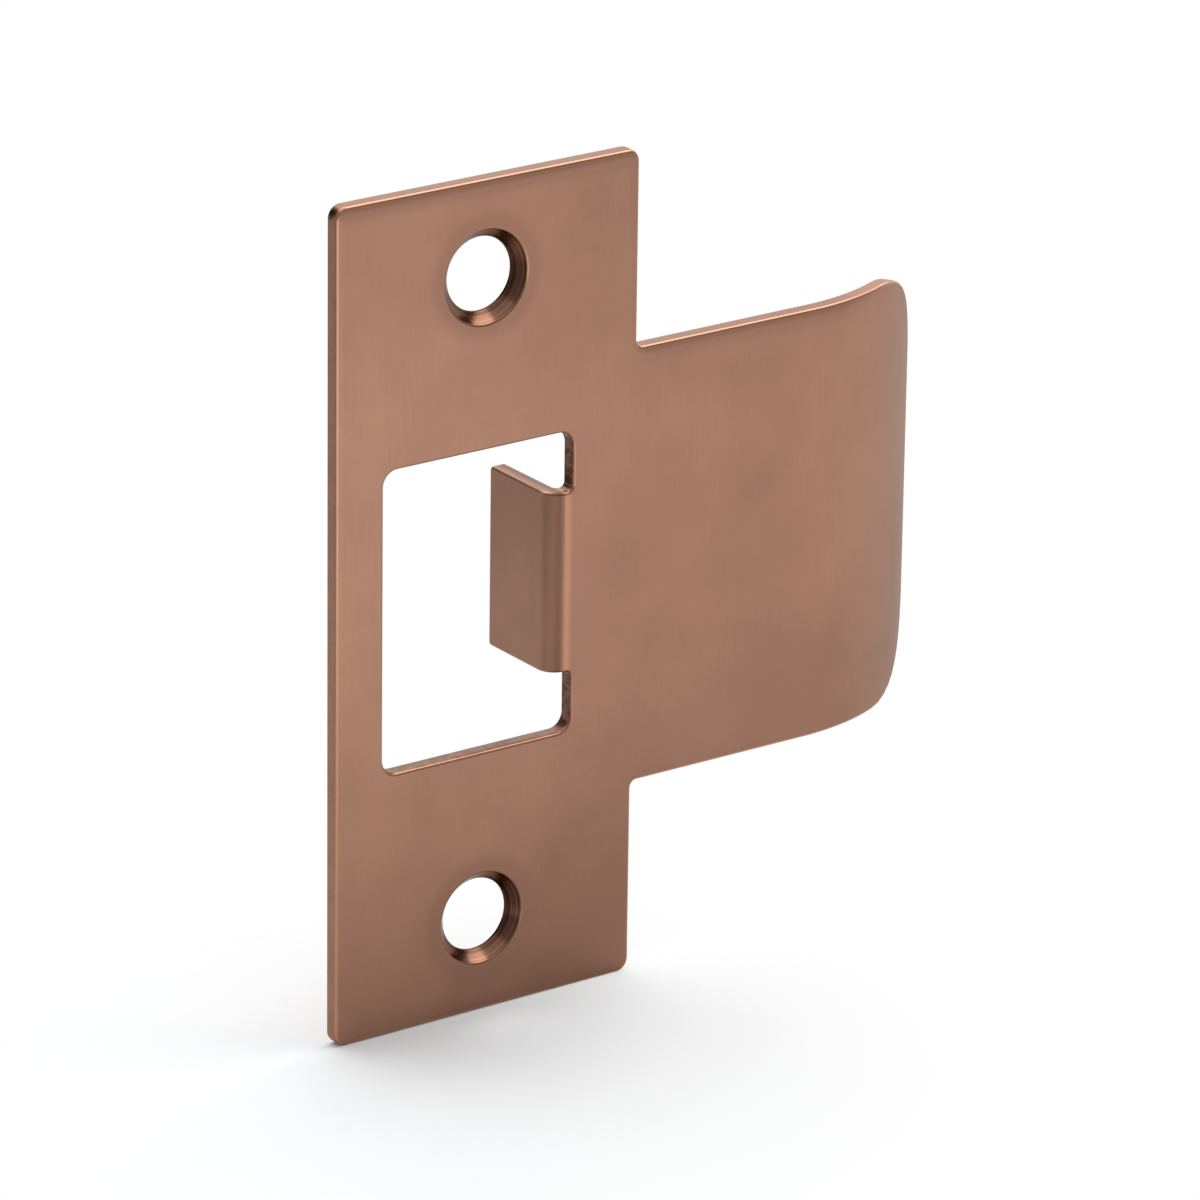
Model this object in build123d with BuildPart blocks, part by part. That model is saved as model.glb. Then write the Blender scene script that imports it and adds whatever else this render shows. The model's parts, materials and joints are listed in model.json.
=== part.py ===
from build123d import *
import math
import os

os.makedirs("parts", exist_ok=True)

# Door strike plate: one piece of sheet metal, blanked, pierced, folded and curled.
# +Z runs up the plate, the front face looks towards -Y and the lip reaches towards +X.
# The back face lies in y = 0, and the origin is midway between the two screws.

# sheet
sheet_thickness = 1.3
edge_round = 0.3  # soft polished edge all round the front

# face plate
plate_height = 70.0
plate_width = 28.6
plate_corner_radius = 1.1

# screw holes, sunk for flat heads, their distance taken from the plain long edge
screw_spacing = 54.0
screw_inset = 14.0
screw_hole_diameter = 6.1
countersink_diameter = 7.9
countersink_angle = 82.0

# latch opening, its distance taken from the plain long edge
opening_inset = 4.5
opening_width = 18.0
opening_height = 25.4
opening_corner_radius = 1.3

# tab folded back from the lip's side of the opening
tab_height = 15.3
tab_reach = 7.2  # behind the back face
tab_inner_bend_radius = 0.4
tab_tip_radius = 0.3
relief_radius = 0.5

# lip: a flat tongue, then a curl away from the door's edge
lip_height = 37.0
lip_flat_length = 17.4
lip_inner_corner_radius = 0.6
lip_outer_corner_radius = 8.0
curl_inner_radius = 18.5
curl_angle = 45.0
curl_tail_length = 1.1

# places that follow from the sizes above
plain_edge_x = -screw_inset
lip_edge_x = plain_edge_x + plate_width
plate_middle_x = plain_edge_x + plate_width / 2
curl_start_x = lip_edge_x + lip_flat_length
opening_right_x = plain_edge_x + opening_inset + opening_width
opening_middle_x = opening_right_x - opening_width / 2
tab_fold_x = opening_right_x - relief_radius
tab_back_x = tab_fold_x - tab_inner_bend_radius
tab_outer_bend_radius = tab_inner_bend_radius + sheet_thickness
curl_outer_radius = curl_inner_radius + sheet_thickness
curl_end = math.radians(curl_angle)
tail_front = Vector(math.sin(curl_end), -math.cos(curl_end), 0)  # the way its front faces

same_place = 0.001


def corners_through_sheet(x):
    # the two edges nearest the plate's middle that cross the sheet at this x
    crossing = strike_plate.edges().filter_by(Axis.Y)
    crossing = crossing.filter_by_position(Axis.X, x - same_place, x + same_place)
    return crossing.sort_by(lambda edge: abs(edge.center().Z))[:2]


def flats_facing(direction):
    flats = strike_plate.faces().filter_by(GeomType.PLANE)
    return flats.filter_by(lambda face: (face.normal_at() - direction).length < same_place)


def bend_surface(radius):
    bends = strike_plate.faces().filter_by(GeomType.CYLINDER)
    return bends.sort_by(lambda face: abs(face.radius - radius))[0]


with BuildPart() as strike_plate:
    # lip, from its section seen from above
    with BuildSketch(Plane.XY.offset(-lip_height / 2)) as lip_section:
        with BuildLine() as lip_back:
            tongue = Line((plate_middle_x, 0), (curl_start_x, 0))
            curl = JernArc(tongue @ 1, tongue % 1, curl_inner_radius, curl_angle)
            tail = Line(curl @ 1, curl @ 1 + curl_tail_length * (curl % 1))
            offset(amount=sheet_thickness, side=Side.RIGHT)
        make_face()
    extrude(amount=lip_height)
    # its outer corners, cut square to the curl's end
    lip_span = plate_width + lip_flat_length + curl_outer_radius + curl_tail_length
    with BuildSketch(Plane(tail @ 1, x_dir=tail % 1, z_dir=tail_front)) as lip_outline:
        Rectangle(lip_span, lip_height, align=(Align.MAX, Align.CENTER))
        fillet(lip_outline.vertices().sort_by(Axis.X)[-2:], lip_outer_corner_radius)
    extrude(amount=lip_span, both=True, mode=Mode.INTERSECT)

    # face plate
    with BuildSketch(Plane.XZ) as plate_outline:
        with Locations((plate_middle_x, 0)):
            RectangleRounded(plate_width, plate_height, plate_corner_radius)
    extrude(amount=sheet_thickness)
    fillet(corners_through_sheet(lip_edge_x), lip_inner_corner_radius)

    # latch opening
    with BuildSketch(Plane.XZ) as opening_outline:
        with Locations((opening_middle_x, 0)):
            RectangleRounded(opening_width, opening_height, opening_corner_radius)
    extrude(amount=sheet_thickness, mode=Mode.SUBTRACT)

    # tab, from its section seen from above, bent square to the plate
    with BuildSketch(Plane.XY.offset(-tab_height / 2)) as tab_section:
        with BuildLine() as tab_back:
            root = Line((opening_right_x, 0), (tab_fold_x, 0))
            bend = JernArc(root @ 1, root % 1, tab_inner_bend_radius, -90)
            Line(bend @ 1, (tab_back_x, tab_reach))
            offset(amount=sheet_thickness, side=Side.LEFT)
        make_face()
    extrude(amount=tab_height)
    fillet(corners_through_sheet(opening_right_x), relief_radius)
    tab_end = strike_plate.faces().filter_by(Axis.Y).sort_by(Axis.Y)[-1]
    fillet(tab_end.edges().filter_by(Axis.X), tab_tip_radius)

    # screw holes, sunk from the front
    with Locations(Plane.XZ.offset(sheet_thickness)):
        with GridLocations(0, screw_spacing, 1, 2):
            CounterSinkHole(
                screw_hole_diameter / 2, countersink_diameter / 2, counter_sink_angle=countersink_angle
            )

    # round-over of the whole front, which runs on round both bends: the front's surfaces share
    # the edges inside it, so an edge that only one of them has is on its outline
    front_face = flats_facing(Vector(0, -1, 0)).sort_by(SortBy.AREA)[-1]
    tail_face = flats_facing(tail_front)[0]
    tab_face = flats_facing(Vector(-1, 0, 0)).sort_by(Axis.Y)[-1]
    front_edges = ShapeList(
        [
            *front_face.edges(),
            *bend_surface(curl_outer_radius).edges(),
            *tail_face.edges(),
            *bend_surface(tab_outer_bend_radius).edges(),
            *tab_face.edges(),
        ]
    )
    fillet(front_edges.filter_by(lambda edge: front_edges.count(edge) == 1), edge_round)

strike_plate.part.label = "strike_plate"
export_step(strike_plate.part, "parts/strike_plate.step")

lip_reach = lip_flat_length + curl_outer_radius * math.sin(curl_end) + curl_tail_length * math.cos(curl_end)
print("lip reach from the plate's edge", round(lip_reach, 2), "mm")
print("volume", round(strike_plate.part.volume, 1), "mm3", strike_plate.part.bounding_box())
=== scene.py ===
import json
import math

import bpy
import numpy as np
from mathutils import Matrix, Vector
from mathutils.geometry import delaunay_2d_cdt


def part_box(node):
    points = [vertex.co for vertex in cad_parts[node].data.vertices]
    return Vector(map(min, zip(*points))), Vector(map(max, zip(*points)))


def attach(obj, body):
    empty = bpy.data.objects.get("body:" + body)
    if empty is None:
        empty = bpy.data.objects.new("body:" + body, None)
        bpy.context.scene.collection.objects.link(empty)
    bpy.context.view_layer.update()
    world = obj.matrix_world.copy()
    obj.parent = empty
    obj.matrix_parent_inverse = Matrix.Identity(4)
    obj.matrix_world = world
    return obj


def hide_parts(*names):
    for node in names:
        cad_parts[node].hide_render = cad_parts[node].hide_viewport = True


# Door strike plate: one sheet of metal, pressed flat with rounded edges, then folded and curled.
# The sheet is first meshed flat, as it leaves the press, and a node tree bends its tab and its lip.
# x runs towards the lip, y into the door frame and z up the plate.

mm = 0.001
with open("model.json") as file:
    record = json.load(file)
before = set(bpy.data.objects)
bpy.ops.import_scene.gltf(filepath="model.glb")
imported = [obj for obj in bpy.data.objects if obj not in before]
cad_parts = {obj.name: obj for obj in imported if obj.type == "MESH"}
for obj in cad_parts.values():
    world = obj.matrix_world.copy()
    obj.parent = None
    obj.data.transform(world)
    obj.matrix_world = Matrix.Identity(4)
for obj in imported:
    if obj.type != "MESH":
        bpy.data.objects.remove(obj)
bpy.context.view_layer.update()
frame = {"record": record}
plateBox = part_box("strike_plate")
mounts = {mount["name"]: mount for mount in frame["record"]["mounts"]}
screwHoles = mounts["screw_holes"]["dims"]


# camera: above and to the left of the plate, far off with a long lens
shot = {
    "lens": 241.27,  # mm, on a 36 mm sensor
    "turn": 35.596,  # degrees to the left of straight on
    "lookDown": 20.714,  # degrees
    "roll": 0.78,  # degrees
    "distance": 642.64 * mm,
    "aim": Vector((12.18, 0.0, -2.75)) * mm,  # what lies at the picture's middle
    "clipEnd": 20.0,  # metres
}


def placeCamera():
    data = bpy.data.cameras.new("camera")
    data.lens = shot["lens"]
    data.clip_end = shot["clipEnd"]
    camera = bpy.data.objects.new("camera", data)
    bpy.context.collection.objects.link(camera)
    aiming = Matrix.Rotation(math.radians(-shot["turn"]), 4, "Z")
    aiming @= Matrix.Rotation(math.radians(90 - shot["lookDown"]), 4, "X")
    aiming @= Matrix.Rotation(math.radians(shot["roll"]), 4, "Z")
    stepBack = Matrix.Translation((0, 0, shot["distance"]))
    camera.matrix_world = Matrix.Translation(shot["aim"]) @ aiming @ stepBack
    bpy.context.scene.camera = camera


placeCamera()
print("camera placed")


# node helpers
def link(tree, socket, value):
    if isinstance(value, bpy.types.NodeSocket):
        tree.links.new(value, socket)
    else:
        socket.default_value = value


def node(tree, kind, inputs=None, **settings):
    made = tree.nodes.new(kind)
    for name, value in settings.items():
        setattr(made, name, value)
    for name, value in (inputs or {}).items():
        link(tree, made.inputs[name], value)
    return made


def calc(tree, operation, *values):
    made = node(tree, "ShaderNodeMath", dict(enumerate(values)), operation=operation)
    return made.outputs[0]


def chain(tree, operation, values):
    # one operation after another, as in a sum or a product of many values
    result = values[0]
    for value in values[1:]:
        result = calc(tree, operation, result, value)
    return result


def fade(tree, value, ramp):
    # smooth change of an amount: ramp is (from, to, amount at the start, amount at the end)
    low, high, start, end = ramp
    made = node(
        tree,
        "ShaderNodeMapRange",
        {"Value": value, "From Min": low, "From Max": high, "To Min": start, "To Max": end},
        interpolation_type="SMOOTHSTEP",
    )
    return made.outputs["Result"]


def mix(tree, factor, first, second, kind="RGBA"):
    made = node(tree, "ShaderNodeMix", {"Factor": factor, "A": first, "B": second}, data_type=kind)
    return made.outputs["Result"]


def vectorMath(tree, operation, first, second):
    return node(tree, "ShaderNodeVectorMath", {0: first, 1: second}, operation=operation).outputs


# sheet: sizes of the pressing, in metres, over those that the frame and the record give
sheet = {
    "frontY": plateBox[0][1],
    "thickness": -plateBox[0][1],
    "edgeRound": 0.3 * mm,
    "rollWidth": 0.95 * mm,  # the shears draw the outline's edge down a little
    "rollStart": 0.65,  # share of that width from the edge to where it turns down
    "rollDepth": 0.07 * mm,
    "rollRadius": 3.0 * mm,
    "backRound": 0.14 * mm,
    "innerBackRound": 0.08 * mm,  # in the opening and the holes
    "plateLeft": plateBox[0][0],
    "plateWidth": 28.6 * mm,
    "plateHeight": plateBox[1][2] - plateBox[0][2],
    "plateCorner": 1.1 * mm,
    "lipHeight": 37.0 * mm,
    "lipFlat": 17.4 * mm,
    "lipInnerCorner": 0.6 * mm,
    "lipOuterCorner": 8.0 * mm,
    "curlRadius": 19.8 * mm,  # on the front
    "curlAngle": math.radians(45.0),
    "lipTail": 1.1 * mm,
    "openingInset": 4.5 * mm,
    "openingWidth": 18.0 * mm,
    "openingHeight": 25.4 * mm,
    "openingCorner": 1.3 * mm,
    "tabHeight": 15.3 * mm,
    "tabReach": plateBox[1][1],  # behind the back face
    "tabRadius": 1.7 * mm,  # on the front
    "tabAngle": math.radians(90.0),
    "tabCorner": 0.36 * mm,
    "relief": 0.5 * mm,
    "holeSpacing": screwHoles["spacing_y_mm"] * mm,
    "holeRadius": screwHoles["hole_r_mm"] * mm,
    "sinkRadius": 3.95 * mm,
    "sinkAngle": math.radians(41.0),  # from the hole's axis to the cone
    "sinkFloorRound": 0.06 * mm,
}
meshing = {
    "cornerStep": math.radians(9.0),
    "profileStep": math.radians(13.0),
    "bendStep": math.radians(6.0),
    "curlStep": math.radians(1.8),
    "column": 1.3 * mm,
    "row": 1.3 * mm,
    "support": 0.03 * mm,  # width of the ring that keeps the flats flat
    "cornerRoom": 0.1 * mm,  # mesh lines keep this far from the ends of a straight edge
    "edgeRoom": 0.25 * mm,  # and points inside the flats this far from its cut edges
    "holeSides": 72,
    "samePoint": 1e-9,
}


def placesInBlank():
    # where things lie along the sheet while it is still flat, measured on its front
    s = sheet
    places = {"plateRight": s["plateLeft"] + s["plateWidth"]}
    places["openingLeft"] = s["plateLeft"] + s["openingInset"]
    places["openingRight"] = places["openingLeft"] + s["openingWidth"]
    places["tabFold"] = places["openingRight"] - s["relief"]
    places["tabBendEnd"] = places["tabFold"] - s["tabRadius"] * s["tabAngle"]
    places["tabTip"] = places["tabBendEnd"] - (s["tabReach"] + s["thickness"] - s["tabRadius"])
    places["curlStart"] = places["plateRight"] + s["lipFlat"]
    places["curlEnd"] = places["curlStart"] + s["curlRadius"] * s["curlAngle"]
    places["lipEnd"] = places["curlEnd"] + s["lipTail"]
    return places


blank = placesInBlank()


def evenly(start, end, step):
    count = max(1, round(abs(end - start) / step))
    return [start + (end - start) * i / count for i in range(count)]


def columnPlaces():
    # upright mesh lines: close together where the sheet bends
    places = evenly(sheet["plateLeft"], blank["tabBendEnd"], meshing["column"])
    places += evenly(blank["tabBendEnd"], blank["tabFold"], sheet["tabRadius"] * meshing["bendStep"])
    places += evenly(blank["tabFold"], blank["curlStart"], meshing["column"])
    places += evenly(blank["curlStart"], blank["lipEnd"], sheet["curlRadius"] * meshing["curlStep"])
    return places + [blank["lipEnd"]]


def rowPlaces():
    half = sheet["plateHeight"] / 2
    return evenly(-half, half, meshing["row"]) + [half]


def cornerArc(corners, i):
    # the ways into and out of a corner, how far it turns there, and where its arc begins
    corner, radius = np.array(corners[i][:2]), corners[i][2]
    before = corner - np.array(corners[i - 1][:2])
    after = np.array(corners[(i + 1) % len(corners)][:2]) - corner
    before /= np.linalg.norm(before)
    after /= np.linalg.norm(after)
    turn = math.atan2(before[0] * after[1] - before[1] * after[0], before @ after)
    start = corner - before * radius * math.tan(abs(turn) / 2)
    return before, after, turn, start


def meshLines(start, end, columns, rows):
    # points where the mesh lines cross a straight edge
    axis = 0 if abs(end[0] - start[0]) > abs(end[1] - start[1]) else 1
    lines = columns if axis == 0 else rows
    low, high = sorted((start[axis], end[axis]))
    room = meshing["cornerRoom"]
    inside = sorted(place for place in lines if low + room < place < high - room)
    if end[axis] < start[axis]:
        inside.reverse()
    crossings = []
    for place in inside:
        point = start.copy()
        point[axis] = place
        crossings.append(point)
    return crossings


def roundCorners(corners, step, closed=True, columns=(), rows=()):
    # corners are (across, along, radius), with the metal on the left of the way round
    # gives points and the directions that point out of the metal there
    points, normals = [], []
    count = len(corners)
    for i, (across, along, radius) in enumerate(corners):
        before, after, turn, start = cornerArc(corners, i)
        if not closed and i in (0, count - 1):
            way = after if i == 0 else before
            points.append(np.array((across, along)))
            normals.append(np.array((way[1], -way[0])))
            continue
        side = math.copysign(1.0, turn)
        outX, outZ = before[1], -before[0]
        centre = start - side * radius * np.array((outX, outZ))
        steps = max(2, math.ceil(abs(turn) / step))
        for k in range(steps + 1):
            angle = turn * k / steps
            cosine, sine = math.cos(angle), math.sin(angle)
            normal = np.array((cosine * outX - sine * outZ, sine * outX + cosine * outZ))
            points.append(centre + side * radius * normal)
            normals.append(normal)
        if closed:
            nextStart = cornerArc(corners, (i + 1) % count)[-1]
            for crossing in meshLines(points[-1], nextStart, columns, rows):
                points.append(crossing)
                normals.append(normals[-1])
    return np.array(points), np.array(normals)


def withMirror(corners):
    # the same corners again on the other side of the plate's middle
    return corners + [(x, -z, radius) for x, z, radius in reversed(corners)]


def outlineCorners():
    s = sheet
    left, right, end = s["plateLeft"], blank["plateRight"], blank["lipEnd"]
    top, lipTop = s["plateHeight"] / 2, s["lipHeight"] / 2
    lower = [
        (left, -top, s["plateCorner"]),
        (right, -top, s["plateCorner"]),
        (right, -lipTop, s["lipInnerCorner"]),
        (end, -lipTop, s["lipOuterCorner"]),
    ]
    return withMirror(lower)


def openingCorners():
    s = sheet
    left, right, tip = blank["openingLeft"], blank["openingRight"], blank["tabTip"]
    top, tabTop = s["openingHeight"] / 2, s["tabHeight"] / 2
    upper = [
        (left, top, s["openingCorner"]),
        (right, top, s["openingCorner"]),
        (right, tabTop, s["relief"]),
        (tip, tabTop, s["tabCorner"]),
    ]
    return withMirror(upper)


def holeCircle(height):
    # clockwise, so that the metal is on the left
    turns = -np.arange(meshing["holeSides"]) * 2 * math.pi / meshing["holeSides"]
    outward = np.stack([np.cos(turns), np.sin(turns)], 1)
    return outward * sheet["holeRadius"] + np.array((0.0, height)), -outward


# sections through the sheet's cut edges, from the front round to the back: (outwards, deeper, radius)
def drawnEdge():
    s = sheet
    path = [
        (-s["rollWidth"], 0, 0),
        (-s["rollStart"] * s["rollWidth"], 0, s["rollRadius"]),
        (0, s["rollDepth"], s["edgeRound"]),
    ]
    return roundCorners(path + backCorner(s["backRound"]), meshing["profileStep"], closed=False)


def piercedEdge():
    s = sheet
    path = [(-s["edgeRound"] - meshing["support"], 0, 0), (0, 0, s["edgeRound"])]
    return roundCorners(path + backCorner(s["innerBackRound"]), meshing["profileStep"], closed=False)


def sunkEdge():
    s = sheet
    sinkWidth = s["sinkRadius"] - s["holeRadius"]
    sinkDepth = sinkWidth / math.tan(s["sinkAngle"])
    rim = s["edgeRound"] * math.tan((math.pi / 2 - s["sinkAngle"]) / 2)
    path = [
        (-sinkWidth - rim - meshing["support"], 0, 0),
        (-sinkWidth, 0, s["edgeRound"]),
        (0, sinkDepth, s["sinkFloorRound"]),
    ]
    return roundCorners(path + backCorner(s["innerBackRound"]), meshing["profileStep"], closed=False)


def backCorner(radius):
    depth = sheet["thickness"]
    return [(0, depth, radius), (-radius - meshing["support"], depth, 0)]


def insideLoop(points, loop):
    # even-odd test of many points against one closed loop
    inside = np.zeros(len(points), bool)
    ends = np.roll(loop, -1, axis=0)
    for (x0, z0), (x1, z1) in zip(loop, ends):
        spans = (z0 > points[:, 1]) != (z1 > points[:, 1])
        if spans.any():
            crossing = x0 + (points[:, 1] - z0) * (x1 - x0) / (z1 - z0 if z1 != z0 else 1.0)
            inside ^= spans & (points[:, 0] < crossing)
    return inside


def onMetal(points, loops):
    metal = insideLoop(points, loops[0])
    for hole in loops[1:]:
        metal &= ~insideLoop(points, hole)
    return metal


# wear of the cut edges, with painted light: how dirty their walls are, also painting the shade in the
# opening and the sinkings, and how bright their round-overs are rubbed, also painting their highlight
wearAndPaintedLight = {
    "outline": {"dirtAndShade": 0.22, "rubbingAndHighlight": 0.7},
    "opening": {"dirtAndShade": 0.75, "rubbingAndHighlight": 0.45},
    "tab": {"dirtAndShade": 0.15, "rubbingAndHighlight": 0.15},
    "hole": {"dirtAndShade": 1.6, "rubbingAndHighlight": 0.55},
    "paintedLightOnTop": 0.28,  # walls that face up lose this share of their dirt and painted shade, painted lighter as if lit from above
    "roundOver": (0.3, 0.85),  # rubbed, with a painted highlight, where the surface looks this far outwards
    "besideTab": 1.0 * mm,
}


def wearAndLightAt(name, x, z):
    # dirt with its painted shade, and rubbing with its painted highlight, of a place in the blank; across
    # from the tab the opening is as little rubbed
    chosen = wearAndPaintedLight[name]
    dirtAndShade, rubbingAndHighlight = chosen["dirtAndShade"], chosen["rubbingAndHighlight"]
    besideTab = x < blank["tabFold"] and abs(z) < sheet["tabHeight"] / 2 + wearAndPaintedLight["besideTab"]
    if name == "opening" and besideTab:
        rubbingAndHighlight = wearAndPaintedLight["tab"]["rubbingAndHighlight"]
        if x > blank["openingLeft"] + wearAndPaintedLight["besideTab"]:
            dirtAndShade = wearAndPaintedLight["tab"]["dirtAndShade"]
    return dirtAndShade, rubbingAndHighlight


def addPoint(made, x, z, depth, normal, dirtAndShade=0.0, rubbingAndHighlight=0.0):
    made["points"].append((x, sheet["frontY"] + depth, z))
    made["normals"].append(normal)
    made["dirtAndShade"].append(dirtAndShade)
    made["rubbingAndHighlight"].append(rubbingAndHighlight)


def addWalls(made, name, loop, section):
    # sweeps an edge's section along its loop and gives the rings of points on the front and the back
    first, count = len(made["points"]), len(loop[0])
    roundFrom, roundTo = wearAndPaintedLight["roundOver"]
    for (out, deep), (normalOut, normalDeep) in zip(*section):
        onRound = roundFrom < normalOut < roundTo and deep < sheet["thickness"] / 2
        for place, (wayX, wayZ) in zip(*loop):
            x, z = place + np.array((wayX, wayZ)) * out
            dirtAndShade, rubbingAndHighlight = wearAndLightAt(name, x, z)
            dirtAndShade *= 1.0 - wearAndPaintedLight["paintedLightOnTop"] * max(0.0, wayZ)
            dirtAndShade *= max(0.0, normalOut) ** 2
            normal = (wayX * normalOut, normalDeep, wayZ * normalOut)
            addPoint(made, x, z, deep, normal, dirtAndShade, rubbingAndHighlight if onRound else 0.0)
    for start in range(first, len(made["points"]) - count, count):
        for i in range(count):
            j = (i + 1) % count
            made["faces"].append((start + i, start + count + i, start + count + j, start + j))
    last = len(made["points"]) - count
    return list(range(first, first + count)), list(range(last, last + count))


def fillFlat(made, rings, grid, depth, facing):
    # triangles between the rings of one side, over a grid that keeps clear of its edges
    loops = [np.array([made["points"][i] for i in ring])[:, (0, 2)] for ring in rings]
    kept = grid[onMetal(grid, loops)]
    border = np.concatenate(loops)
    gaps = np.array([np.min(np.hypot(*(border - point).T)) for point in kept])
    kept = kept[gaps > meshing["edgeRoom"]]
    numbers = [i for ring in rings for i in ring]
    numbers += range(len(made["points"]), len(made["points"]) + len(kept))
    for x, z in kept:
        addPoint(made, x, z, depth, (0.0, facing, 0.0))
    flat = [Vector((made["points"][i][0], made["points"][i][2])) for i in numbers]
    edges, start = [], 0
    for ring in rings:
        edges += [(start + i, start + (i + 1) % len(ring)) for i in range(len(ring))]
        start += len(ring)
    _, _, found, origins, _, _ = delaunay_2d_cdt(flat, edges, [], 1, meshing["samePoint"])
    triangles = [tuple(numbers[origins[i][0]] for i in triangle) for triangle in found]
    centres = np.array([np.mean([made["points"][i] for i in triangle], axis=0) for triangle in triangles])
    for triangle, metal in zip(triangles, onMetal(centres[:, (0, 2)], loops)):
        if metal:
            made["faces"].append(triangle if facing < 0 else triangle[::-1])


def storeOnPoints(mesh, name, kind, field, values):
    made = mesh.attributes.new(name, kind, "POINT")
    made.data.foreach_set(field, np.array(values).ravel())


def buildBlank():
    # the flat pressing: walls along each loop, then a filled front and back
    columns, rows = columnPlaces(), rowPlaces()
    lines = {"columns": columns, "rows": rows}
    halfSpacing = sheet["holeSpacing"] / 2
    cuts = [
        ("outline", roundCorners(outlineCorners(), meshing["cornerStep"], **lines), drawnEdge()),
        ("opening", roundCorners(openingCorners(), meshing["cornerStep"], **lines), piercedEdge()),
        ("hole", holeCircle(halfSpacing), sunkEdge()),
        ("hole", holeCircle(-halfSpacing), sunkEdge()),
    ]
    made = {"points": [], "normals": [], "dirtAndShade": [], "rubbingAndHighlight": [], "faces": []}
    frontRings, backRings = zip(*[addWalls(made, *cut) for cut in cuts])
    grid = np.array([(x, z) for x in columns for z in rows])
    fillFlat(made, frontRings, grid, 0.0, -1.0)
    fillFlat(made, backRings, grid, sheet["thickness"], 1.0)
    mesh = bpy.data.meshes.new("strikePlate")
    mesh.from_pydata(made["points"], [], made["faces"])
    storeOnPoints(mesh, "faceNormal", "FLOAT_VECTOR", "vector", made["normals"])
    storeOnPoints(mesh, "rawEdgeAndShade", "FLOAT", "value", made["dirtAndShade"])
    storeOnPoints(mesh, "polishAndHighlight", "FLOAT", "value", made["rubbingAndHighlight"])
    piece = bpy.data.objects.new("strikePlate", mesh)
    bpy.context.collection.objects.link(piece)
    return piece


def groupInputs(tree, names):
    tree.interface.new_socket("Geometry", in_out="INPUT", socket_type="NodeSocketGeometry")
    for name in names:
        tree.interface.new_socket(name, in_out="INPUT", socket_type="NodeSocketFloat")
    tree.interface.new_socket("Geometry", in_out="OUTPUT", socket_type="NodeSocketGeometry")
    given = tree.nodes.new("NodeGroupInput").outputs
    return given, tree.nodes.new("NodeGroupOutput").inputs["Geometry"]


def bendTree():
    # rolls the sheet round an upright axis behind it, from Start onwards, and turns its normals along
    tree = bpy.data.node_groups.new("bendSheet", "GeometryNodeTree")
    names = ["Start", "Side", "Radius", "Angle", "Front", "From", "Half Height"]
    given, result = groupInputs(tree, names)
    place = node(tree, "ShaderNodeSeparateXYZ", {0: node(tree, "GeometryNodeInputPosition").outputs[0]})
    x, y, z = place.outputs
    level = calc(tree, "LESS_THAN", calc(tree, "ABSOLUTE", z), given["Half Height"])
    chosen = calc(tree, "MULTIPLY", calc(tree, "GREATER_THAN", x, given["From"]), level)
    along = calc(tree, "MULTIPLY", calc(tree, "SUBTRACT", x, given["Start"]), given["Side"])
    arc = calc(tree, "MAXIMUM", 0.0, along)
    arc = calc(tree, "MINIMUM", arc, calc(tree, "MULTIPLY", given["Radius"], given["Angle"]))
    angle = calc(tree, "DIVIDE", arc, given["Radius"])
    rest = calc(tree, "SUBTRACT", along, arc)
    depth = calc(tree, "SUBTRACT", y, given["Front"])
    reach = calc(tree, "SUBTRACT", given["Radius"], depth)
    sine, cosine = calc(tree, "SINE", angle), calc(tree, "COSINE", angle)
    across = calc(tree, "MULTIPLY_ADD", reach, sine, calc(tree, "MULTIPLY", rest, cosine))
    newX = calc(tree, "MULTIPLY_ADD", across, given["Side"], given["Start"])
    back = calc(tree, "SUBTRACT", calc(tree, "MULTIPLY", rest, sine), calc(tree, "MULTIPLY", reach, cosine))
    newY = calc(tree, "ADD", calc(tree, "ADD", given["Front"], given["Radius"]), back)
    newPlace = node(tree, "ShaderNodeCombineXYZ", {0: newX, 1: newY, 2: z}).outputs[0]
    oldNormal = node(
        tree,
        "GeometryNodeInputNamedAttribute",
        {"Name": "faceNormal"},
        data_type="FLOAT_VECTOR",
    )
    turned = node(
        tree,
        "ShaderNodeVectorRotate",
        {"Vector": oldNormal.outputs[0], "Angle": calc(tree, "MULTIPLY", angle, given["Side"])},
        rotation_type="Z_AXIS",
    )
    kept = node(
        tree,
        "GeometryNodeStoreNamedAttribute",
        {
            "Geometry": given["Geometry"],
            "Selection": chosen,
            "Name": "faceNormal",
            "Value": turned.outputs[0],
        },
        data_type="FLOAT_VECTOR",
        domain="POINT",
    )
    moved = node(
        tree,
        "GeometryNodeSetPosition",
        {"Geometry": kept.outputs[0], "Selection": chosen, "Position": newPlace},
    )
    tree.links.new(moved.outputs[0], result)
    return tree


def pressTree(material):
    # both bends, one after the other
    tree = bpy.data.node_groups.new("pressStrikePlate", "GeometryNodeTree")
    names = ["Front", "Lip Half Height", "Curl Start", "Curl Radius", "Curl Angle"]
    names += ["Tab From", "Tab Half Height", "Tab Fold", "Tab Radius", "Tab Angle"]
    given, result = groupInputs(tree, names)
    bend = bendTree()
    curl = node(
        tree,
        "GeometryNodeGroup",
        {
            "Geometry": given["Geometry"],
            "Start": given["Curl Start"],
            "Side": 1.0,
            "Radius": given["Curl Radius"],
            "Angle": given["Curl Angle"],
            "Front": given["Front"],
            "From": given["Curl Start"],
            "Half Height": given["Lip Half Height"],
        },
        node_tree=bend,
    )
    tab = node(
        tree,
        "GeometryNodeGroup",
        {
            "Geometry": curl.outputs[0],
            "Start": given["Tab Fold"],
            "Side": -1.0,
            "Radius": given["Tab Radius"],
            "Angle": given["Tab Angle"],
            "Front": given["Front"],
            "From": given["Tab From"],
            "Half Height": given["Tab Half Height"],
        },
        node_tree=bend,
    )
    made = node(tree, "GeometryNodeRealizeInstances", {"Geometry": tab.outputs[0]})
    painted = node(tree, "GeometryNodeSetMaterial", {"Geometry": made.outputs[0], "Material": material})
    tree.links.new(painted.outputs[0], result)
    return tree


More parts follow.
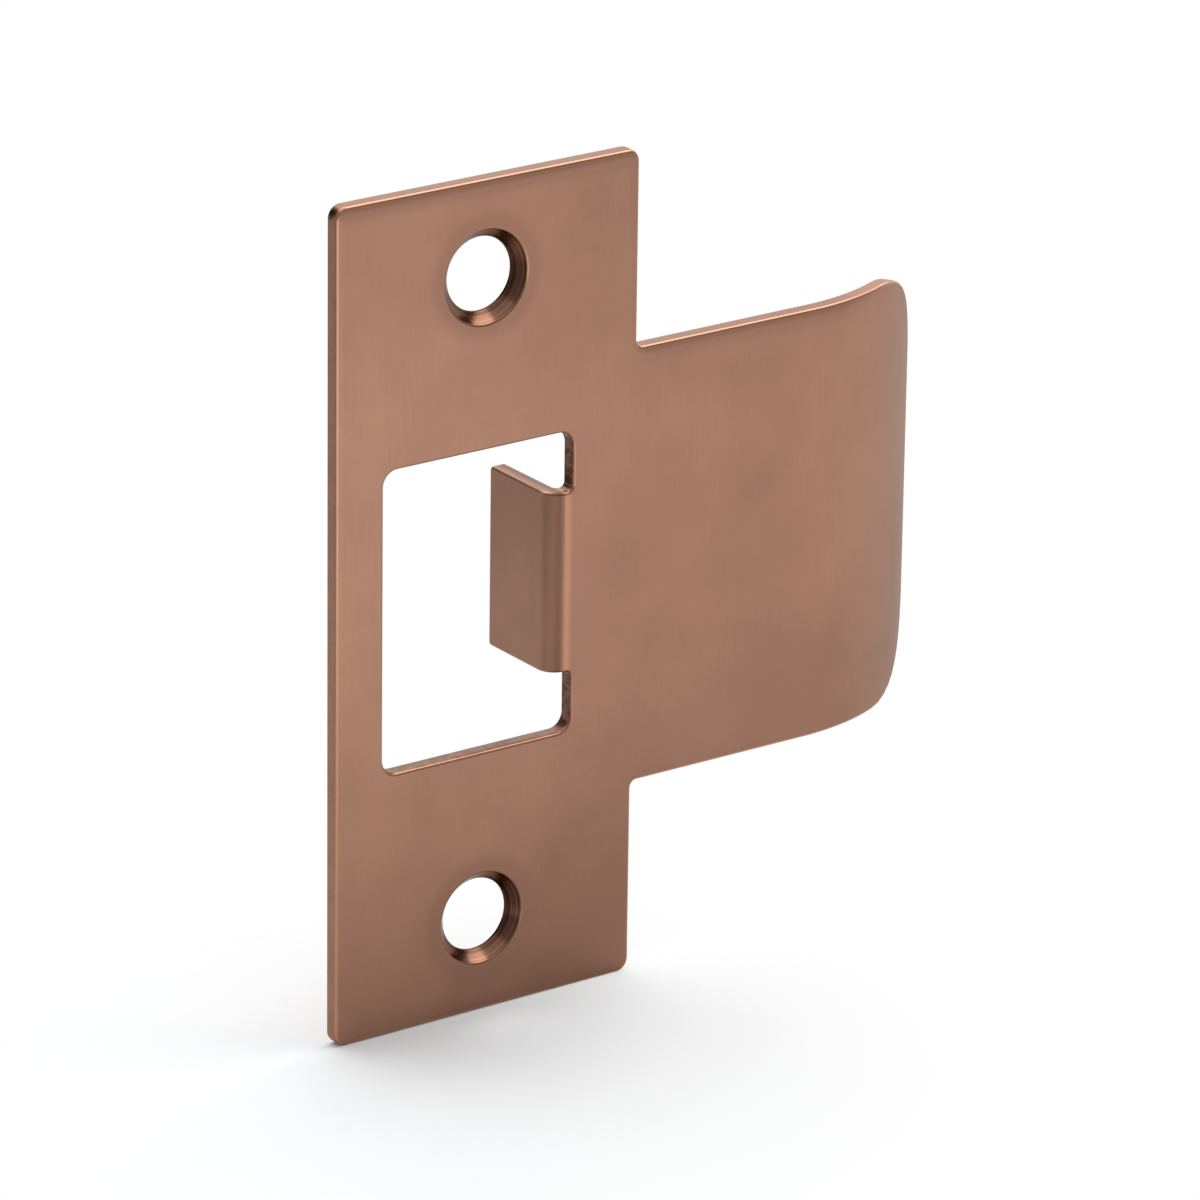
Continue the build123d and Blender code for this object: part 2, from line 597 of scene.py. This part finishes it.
def pressPiece(piece, material):
    tree = pressTree(material)
    modifier = piece.modifiers.new("press", "NODES")
    modifier.node_group = tree
    values = {
        "Front": sheet["frontY"],
        "Lip Half Height": sheet["lipHeight"],  # anything taller than the lip's half
        "Curl Start": blank["curlStart"],
        "Curl Radius": sheet["curlRadius"],
        "Curl Angle": sheet["curlAngle"],
        "Tab From": blank["openingLeft"] + sheet["openingCorner"] / 2,  # just right of the opening's side
        "Tab Half Height": (sheet["tabHeight"] + meshing["support"]) / 2,
        "Tab Fold": blank["tabFold"],
        "Tab Radius": sheet["tabRadius"],
        "Tab Angle": sheet["tabAngle"],
    }
    for item in tree.interface.items_tree:
        if item.name in values:
            modifier[item.identifier] = values[item.name]
    graph = bpy.context.evaluated_depsgraph_get()
    mesh = bpy.data.meshes.new_from_object(piece.evaluated_get(graph))
    piece.modifiers.clear()
    piece.data = mesh
    mesh.name = "strikePlate"
    smoothFromNormals(mesh)


def smoothFromNormals(mesh):
    # the bends have turned the flat sheet's exact normals along, so the shading has no facets
    mesh.shade_smooth()
    stored = np.empty(len(mesh.vertices) * 3)
    mesh.attributes["faceNormal"].data.foreach_get("vector", stored)
    mesh.normals_split_custom_set_from_vertices(stored.reshape(-1, 3).tolist())
    mesh.attributes.remove(mesh.attributes["faceNormal"])


# brushed copper-brown metal: fine upright grain, cloudy tone, dark raw edges, with painted shade and
# painted highlights
# ramps are (from, to, amount at the start, amount at the end)
finish = {
    "face": (0.470, 0.253, 0.170, 1.0),
    "faceDullAndShaded": (0.335, 0.176, 0.121, 1.0),
    "bareAndHighlight": (0.58, 0.29, 0.175, 1.0),  # rubbed bright along the rounded edges, with a painted highlight there
    # dark raw edges, a colour that also paints the shade in the opening and the sinkings
    "rawEdgeAndShade": (0.062, 0.026, 0.015, 1.0),
    "plainGrazing": (1.0, 1.0, 1.0, 1.0),  # reflection where the metal is seen almost edge on
    "sinkGrazing": (0.78, 0.68, 0.63, 1.0),
    "roughness": (0.0, 1.0, 0.37, 0.23),  # from unrubbed to rubbed
    "sinkPolish": (0.0, 0.3 * mm, 0.6, 1.0),  # the cutter leaves the sinkings smoother than the face
    "anisotropy": 0.35,  # spreads reflections across the grain
    "dullBase": 0.17,
    "cloud": {"Scale": 120.0, "Detail": 5.0, "Roughness": 0.6},
    "cloudShare": 1.0,
    "grain": {"Scale": 7500.0, "Detail": 3.0, "Roughness": 0.65},
    "grainStretch": (1.0, 1.0, 0.035),
    "grainShare": 0.4,
    "grainBump": 0.12,
    "grainDepth": 0.02 * mm,
    "patches": {"Scale": 1900.0, "Detail": 3.0},  # uneven dirt on the sheared walls
    "patchStretch": (1.0, 0.6, 1.0),
    "patchShare": (0.3, 0.7, 0.75, 1.25),
    "rings": {"Scale": 4200.0, "Detail": 1.0},  # turning marks in the sinkings
    "ringShare": (0.3, 0.7, 0.6, 1.4),
    "sinkEdge": 0.2 * mm,  # the turning marks end this far past the rim
    # painted shade: a dark reflection on the rounded top left corner
    "paintedCornerShade": Vector((-13.85, -0.45, 34.45)) * mm,
    "cornerShadeReach": (0.2125 * mm, 0.85 * mm, 1.0, 0.0),
    "cornerShadeDepth": (-1.2 * mm, -0.95 * mm, 0.0, 1.0),
    "tabSide": 2.0 * mm,  # the tab's painted shade stays this far from the opening's plain side
    "tabRoom": 0.1 * mm,
}
# painted shade and light on the face: darker towards the lip, the top and the foot, under the top edges and
# round the holes' rims, where the face would reflect the floor's shadow and a darker room, and a painted
# reflection on the curl; ramps along a place in millimetres, multiplied within an entry
paintedShading = {
    "towardsLip": [("x", -14.0, 22.0, 0.0, 0.5)],
    "top": [("z", 12.0, 33.0, 0.0, 0.27)],
    "foot": [("z", -30.0, 8.0, 0.26, 0.0)],
    "lowRight": [("x", -13.0, 0.0, 0.0, 0.3), ("z", -33.0, -14.0, 1.0, 0.0)],
    "underTopEdge": [("z", 33.2, 34.7, 0.0, 0.7)],
    "underLipEdge": [
        ("z", 16.5, 18.2, 0.0, 0.7),
        ("x", 14.5, 17.0, 0.0, 0.7),
        ("x", 33.0, 40.0, 1.0, 0.0),
    ],
    "lipFoot": [("x", 18.0, 36.0, 0.0, 0.45), ("z", -20.0, 0.0, 1.0, 0.0)],
    "curl": [("x", 29.0, 41.0, 0.0, -0.55)],  # a painted reflection, paler
    "roundHoles": [("pastRim", 0.0, 1.9, 0.55, 0.0)],
}
# painted shade on the tab and in its fold, and a painted highlight on the crest beside the fold
paintedTabShading = {
    "dull": [("pastFold", -0.4, -0.12, 0.3, 0.0), ("z", -2.0, 8.0, 0.7, 1.9)],
    "foldShade": [("pastFold", -1.45, -0.75, 0.0, 0.56), ("pastFold", -0.62, -0.2, 1.0, 0.0)],
    "foldHighlight": [("pastFold", -0.35, -0.05, 0.0, 1.0), ("pastFold", 0.0, 0.6, 0.75, 0.0)],
}


def noise(tree, place, settings):
    return node(tree, "ShaderNodeTexNoise", {"Vector": place, **settings}).outputs["Fac"]


def stretched(tree, place, scale):
    return node(tree, "ShaderNodeMapping", {"Vector": place, "Scale": scale}).outputs[0]


def attribute(tree, name):
    return node(tree, "ShaderNodeAttribute", attribute_name=name).outputs["Fac"]


def placesOnPlate(tree):
    # coordinates, and distances past the tab's fold and past the rim of the nearer sinking
    place = node(tree, "ShaderNodeTexCoord").outputs["Object"]
    x, y, z = node(tree, "ShaderNodeSeparateXYZ", {0: place}).outputs
    height = calc(tree, "ABSOLUTE", z)
    fromHole = calc(tree, "SUBTRACT", height, sheet["holeSpacing"] / 2)
    fromAxis = calc(tree, "MULTIPLY_ADD", x, x, calc(tree, "MULTIPLY", fromHole, fromHole))
    fromAxis = calc(tree, "SQRT", fromAxis)
    return {
        "place": place,
        "x": x,
        "y": y,
        "z": z,
        "height": height,
        "fromAxis": fromAxis,
        "pastRim": calc(tree, "SUBTRACT", fromAxis, sheet["sinkRadius"]),
        "pastFold": calc(tree, "SUBTRACT", x, blank["tabFold"]),
    }


def shade(tree, at, ramps):
    amounts = []
    for along, low, high, start, end in ramps:
        amounts.append(fade(tree, at[along], (low * mm, high * mm, start, end)))
    return chain(tree, "MULTIPLY", amounts)


def swing(tree, pattern, share):
    # a pattern's swing to both sides of its middle
    return calc(tree, "MULTIPLY_ADD", pattern, share, -share / 2)


def tabMasks(tree, at):
    # the band of the plate as high as the tab, and the tab alone
    level = calc(tree, "LESS_THAN", at["height"], sheet["tabHeight"] / 2 + finish["tabRoom"])
    beyond = calc(tree, "GREATER_THAN", at["x"], blank["openingLeft"] + finish["tabSide"])
    return level, calc(tree, "MULTIPLY", level, beyond)


# the face's tone: cloudy tone and grain, with painted shade over it
def faceToneAndShade(tree, at, onTab, grain):
    amounts = [finish["dullBase"]]
    amounts += [shade(tree, at, ramps) for ramps in paintedShading.values()]
    amounts.append(calc(tree, "MULTIPLY", onTab, shade(tree, at, paintedTabShading["dull"])))
    amounts.append(swing(tree, noise(tree, at["place"], finish["cloud"]), finish["cloudShare"]))
    amounts.append(swing(tree, grain, finish["grainShare"]))
    return mix(tree, chain(tree, "ADD", amounts), finish["face"], finish["faceDullAndShaded"])


def dirtAndShadeShare(tree, at, onTab, inSinking):
    # dark raw edges and painted shade: patchy on the walls, in rings in the sinkings, a painted shade in
    # the tab's fold and a painted dark reflection at a corner
    patches = noise(tree, stretched(tree, at["place"], finish["patchStretch"]), finish["patches"])
    ringPlace = node(tree, "ShaderNodeCombineXYZ", {0: at["fromAxis"]}).outputs[0]
    rings = noise(tree, ringPlace, finish["rings"])
    onWalls = fade(tree, patches, finish["patchShare"])
    uneven = mix(tree, inSinking, onWalls, fade(tree, rings, finish["ringShare"]), "FLOAT")
    raw = calc(tree, "MULTIPLY", attribute(tree, "rawEdgeAndShade"), uneven)
    paintedFoldShade = calc(tree, "MULTIPLY", onTab, shade(tree, at, paintedTabShading["foldShade"]))
    toCorner = vectorMath(tree, "DISTANCE", at["place"], finish["paintedCornerShade"])["Value"]
    paintedCorner = fade(tree, toCorner, finish["cornerShadeReach"])
    paintedCorner = calc(tree, "MULTIPLY", paintedCorner, fade(tree, at["y"], finish["cornerShadeDepth"]))
    return chain(tree, "MAXIMUM", [raw, paintedFoldShade, paintedCorner])


def brushedMetal():
    material = bpy.data.materials.new("brushedMetal")
    material.use_nodes = True
    tree = material.node_tree
    tree.nodes.clear()
    at = placesOnPlate(tree)
    level, onTab = tabMasks(tree, at)
    inSinking = calc(tree, "LESS_THAN", at["pastRim"], finish["sinkEdge"])
    grain = noise(tree, stretched(tree, at["place"], finish["grainStretch"]), finish["grain"])
    polishAndHighlight = attribute(tree, "polishAndHighlight")
    # painted highlight on the crest beside the tab's fold
    paintedCrest = calc(tree, "MULTIPLY", level, shade(tree, at, paintedTabShading["foldHighlight"]))
    tone = faceToneAndShade(tree, at, onTab, grain)
    # the bare colour paints the highlight along the round-overs and on the crest beside the tab's fold
    tone = mix(tree, calc(tree, "MAXIMUM", polishAndHighlight, paintedCrest), tone, finish["bareAndHighlight"])
    smoothness = fade(tree, at["pastRim"], finish["sinkPolish"])
    bump = node(
        tree,
        "ShaderNodeBump",
        {"Height": grain, "Strength": finish["grainBump"], "Distance": finish["grainDepth"]},
    )
    shader = node(
        tree,
        "ShaderNodeBsdfPrincipled",
        {
            "Base Color": mix(tree, dirtAndShadeShare(tree, at, onTab, inSinking), tone, finish["rawEdgeAndShade"]),
            "Metallic": 1.0,
            "Specular Tint": mix(tree, inSinking, finish["plainGrazing"], finish["sinkGrazing"]),
            "Roughness": calc(tree, "MULTIPLY", fade(tree, polishAndHighlight, finish["roughness"]), smoothness),
            "Anisotropic": finish["anisotropy"],
            "Normal": bump.outputs[0],
            "Tangent": node(tree, "ShaderNodeTangent", direction_type="RADIAL", axis="Z").outputs[0],
        },
    )
    output = node(tree, "ShaderNodeOutputMaterial")
    tree.links.new(shader.outputs[0], output.inputs["Surface"])
    return material


metal = brushedMetal()
plate = buildBlank()
print("blank meshed:", len(plate.data.polygons), "faces")
pressPiece(plate, metal)
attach(plate, "root")
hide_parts("strike_plate")
print("plate pressed")


# studio: a pale patch of floor under the plate that takes its shadow, in a white room
# ramps are over the cosine of the angle from a way, or over height on the unit sphere
studio = {
    "floorHeight": plateBox[0][2],
    "floorHalf": 0.3,
    "floorColor": (0.7, 0.7, 0.7, 1.0),
    "floorSeen": (0.79, 0.805, 0.815, 1.0),  # as the camera sees it
    "floorMiddle": (-0.014, -0.011, 0.0),
    "floorSolid": 0.006,  # the patch is whole this far out
    "floorGone": 0.048,  # and gone from the picture here, but not yet from the metal's reflection
    "floorGoneInMetal": 0.13,
    "skyLight": 0.62,
    "white": (1.0, 1.0, 1.0, 1.0),
    "toFront": (-0.17, -0.98, 0.0),  # the room is brightest this way, level
    "roomLevel": 0.86,
    "roomSwing": 0.34,
    "cardWay": (-0.9, -0.22, -0.32),  # a grey card on the left
    "card": (0.72, 0.95, 1.0, 0.45),
    "glowWay": (-0.32, -0.88, -0.35),  # and a brighter place between it and the front
    "glow": (0.82, 0.98, 0.0, 0.45),
    "darkWay": (-0.42, 0.77, 0.47),  # a dark corner behind on the left
    "dark": (0.85, 0.94, 1.0, 0.08),
    "frontAbove": (-0.3, 0.25, 1.0, 0.4),  # the room above the horizon, darker in front
    "ceiling": (0.55, 0.8, 0.0, 1.0),
    "horizon": (-0.22, 0.0, 0.0, 1.0),
}


def buildFloor():
    half, height = studio["floorHalf"], studio["floorHeight"]
    flat = [(-half, -half), (half, -half), (half, half), (-half, half)]
    corners = [(x, y, height) for x, y in flat]
    mesh = bpy.data.meshes.new("floor")
    mesh.from_pydata(corners, [], [(0, 1, 2, 3)])
    floor = bpy.data.objects.new("floor", mesh)
    bpy.context.collection.objects.link(floor)
    mesh.materials.append(paleFloor())


def paleFloor():
    # fades out round the plate, sooner for the camera than for the metal
    material = bpy.data.materials.new("paleFloor")
    material.use_nodes = True
    tree = material.node_tree
    tree.nodes.clear()
    seen = node(tree, "ShaderNodeLightPath").outputs["Is Camera Ray"]
    paint = mix(tree, seen, studio["floorColor"], studio["floorSeen"])
    matt = node(tree, "ShaderNodeBsdfDiffuse", {"Color": paint}).outputs[0]
    place = node(tree, "ShaderNodeTexCoord").outputs["Object"]
    level = vectorMath(tree, "MULTIPLY", place, (1.0, 1.0, 0.0))["Vector"]
    away = vectorMath(tree, "DISTANCE", level, studio["floorMiddle"])["Value"]
    gone = mix(tree, seen, studio["floorGoneInMetal"], studio["floorGone"], "FLOAT")
    fading = fade(tree, away, (studio["floorSolid"], gone, 0.0, 1.0))
    nothing = node(tree, "ShaderNodeBsdfTransparent").outputs[0]
    patch = node(tree, "ShaderNodeMixShader", {0: fading, 1: matt, 2: nothing})
    output = node(tree, "ShaderNodeOutputMaterial")
    tree.links.new(patch.outputs[0], output.inputs["Surface"])
    return material


def roomInMetal(tree, way):
    # what the metal sees: darker on the left and above the front, white overhead
    def facing(direction):
        return vectorMath(tree, "DOT_PRODUCT", way, direction)["Value"]

    height = node(tree, "ShaderNodeSeparateXYZ", {0: way}).outputs["Z"]
    toFront = facing(studio["toFront"])
    below = calc(tree, "MULTIPLY_ADD", toFront, studio["roomSwing"], studio["roomLevel"])
    card = fade(tree, facing(studio["cardWay"]), studio["card"])
    glow = fade(tree, facing(studio["glowWay"]), studio["glow"])
    below = calc(tree, "MULTIPLY_ADD", below, card, glow)
    front = fade(tree, toFront, studio["frontAbove"])
    above = calc(tree, "MAXIMUM", front, fade(tree, height, studio["ceiling"]))
    room = mix(tree, fade(tree, height, studio["horizon"]), below, above, "FLOAT")
    return calc(tree, "MULTIPLY", room, fade(tree, facing(studio["darkWay"]), studio["dark"]))


def buildSky():
    # white to the camera
    world = bpy.data.worlds.new("sky")
    bpy.context.scene.world = world
    world.use_nodes = True
    tree = world.node_tree
    tree.nodes.clear()
    rays = node(tree, "ShaderNodeLightPath").outputs
    way = node(tree, "ShaderNodeTexCoord").outputs["Generated"]
    light = mix(tree, rays["Is Glossy Ray"], studio["skyLight"], roomInMetal(tree, way), "FLOAT")
    shown = calc(tree, "MAXIMUM", rays["Is Camera Ray"], rays["Is Transmission Ray"])
    strength = mix(tree, shown, light, 1.0, "FLOAT")
    sky = node(tree, "ShaderNodeBackground", {"Color": studio["white"], "Strength": strength})
    output = node(tree, "ShaderNodeOutputWorld")
    tree.links.new(sky.outputs[0], output.inputs["Surface"])


lamps = {
    "overhead": {"from": (0.0, 0.26, 0.62), "size": 0.6, "watts": 2.6},
    "right": {"from": (0.38, -0.09, 0.57), "size": 0.52, "watts": 1.75},
    "side": {"from": (0.57, 0.22, 0.34), "size": 0.3, "watts": 0.45},
    "back": {"from": (0.35, 0.5, 0.32), "size": 0.3, "watts": 0.1},
}


def hangLamp(name, lamp):
    data = bpy.data.lights.new(name, "AREA")
    data.shape = "DISK"
    data.size = lamp["size"]
    data.energy = lamp["watts"]
    lampObject = bpy.data.objects.new(name, data)
    bpy.context.collection.objects.link(lampObject)
    lampObject.location = lamp["from"]
    lampObject.rotation_euler = Vector(lamp["from"]).to_track_quat("Z", "Y").to_euler()


buildFloor()
buildSky()
for name, lamp in lamps.items():
    hangLamp(name, lamp)
print("studio lit")

bpy.context.scene.view_settings.view_transform = "Standard"
